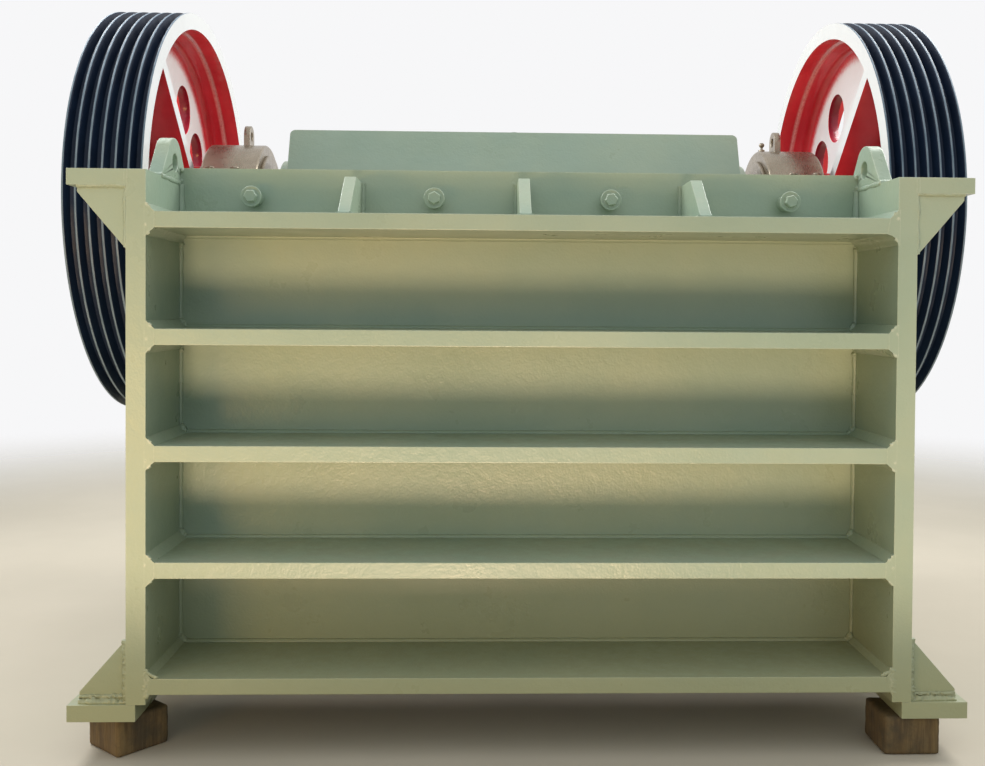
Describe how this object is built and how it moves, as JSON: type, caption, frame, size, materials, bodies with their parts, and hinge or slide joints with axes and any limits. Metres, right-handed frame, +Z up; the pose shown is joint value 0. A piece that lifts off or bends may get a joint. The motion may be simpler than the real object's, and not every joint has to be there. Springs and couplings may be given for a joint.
{
  "type": "jaw crusher",
  "caption": "Fine jaw crusher: ribbed welded frame with a wide, shallow crushing chamber, an eccentric shaft between two grooved flywheels, and a swing jaw.",
  "frame": {"origin": "middle of the machine's footprint, on the ground under the timber blocks", "axes": "+Z up, +X to the right seen from the ribbed front wall, which faces -Y; the shaft runs along X"},
  "size_m": [1.838, 1.3686, 1.4369],
  "materials": {
    "sage_paint": "semi-gloss enamel",
    "bare_steel": "oiled machined steel",
    "manganese_steel": "as cast",
    "wheel_paint": "gloss enamel",
    "timber": "rough sawn"
  },
  "bodies": {
    "frame": {"side_plate_left": "sage_paint", "side_plate_right": "sage_paint", "front_wall": "sage_paint", "front_rib_1": "sage_paint", "front_rib_2": "sage_paint", "front_rib_3": "sage_paint", "front_rib_4": "sage_paint", "front_rib_5": "sage_paint", "wall_stiffeners": "sage_paint", "liner_bolts": "sage_paint", "upper_liner": "manganese_steel", "top_flange_left": "sage_paint", "top_flange_right": "sage_paint", "flange_gusset_left": "sage_paint", "flange_gusset_right": "sage_paint", "lifting_lug_left": "sage_paint", "lifting_lug_right": "sage_paint", "foot_plate_left": "sage_paint", "foot_plate_right": "sage_paint", "foot_gussets_left": "sage_paint", "foot_gussets_right": "sage_paint", "support_blocks": "timber", "bearing_seat_left": "sage_paint", "bearing_seat_right": "sage_paint", "bearing_cap_left": "bare_steel", "bearing_cap_right": "bare_steel", "main_bearing_left": "bare_steel", "main_bearing_right": "bare_steel", "bearing_covers": "bare_steel", "cap_bolts": "bare_steel", "fixed_jaw_plate": "manganese_steel", "cheek_plate_left": "manganese_steel", "cheek_plate_right": "manganese_steel", "toggle_plate": "bare_steel", "rear_beam": "sage_paint", "toggle_seat": "bare_steel", "tension_rods": "bare_steel", "tension_springs": "bare_steel"},
    "rotor": {"eccentric_shaft": "bare_steel", "flywheel_left": "wheel_paint", "flywheel_right": "wheel_paint", "shaft_end_plates": "bare_steel"},
    "pitman": {"pitman": "sage_paint", "moving_jaw_plate": "manganese_steel", "guard_plate": "sage_paint"}
  },
  "joints": [
    {"name": "shaft_spin", "type": "hinge", "parent": "frame", "child": "rotor", "pos_m": [0, 0.0957, 0.979], "axis": [1, 0, 0], "continuous": true},
    {"name": "pitman_orbit", "type": "hinge", "parent": "rotor", "child": "pitman", "pos_m": [0, 0.0957, 0.969], "axis": [1, 0, 0], "continuous": true}
  ],
  "couplings": [
    {"joint": "pitman_orbit", "follows": "shaft_spin", "ratio": -1}
  ]
}
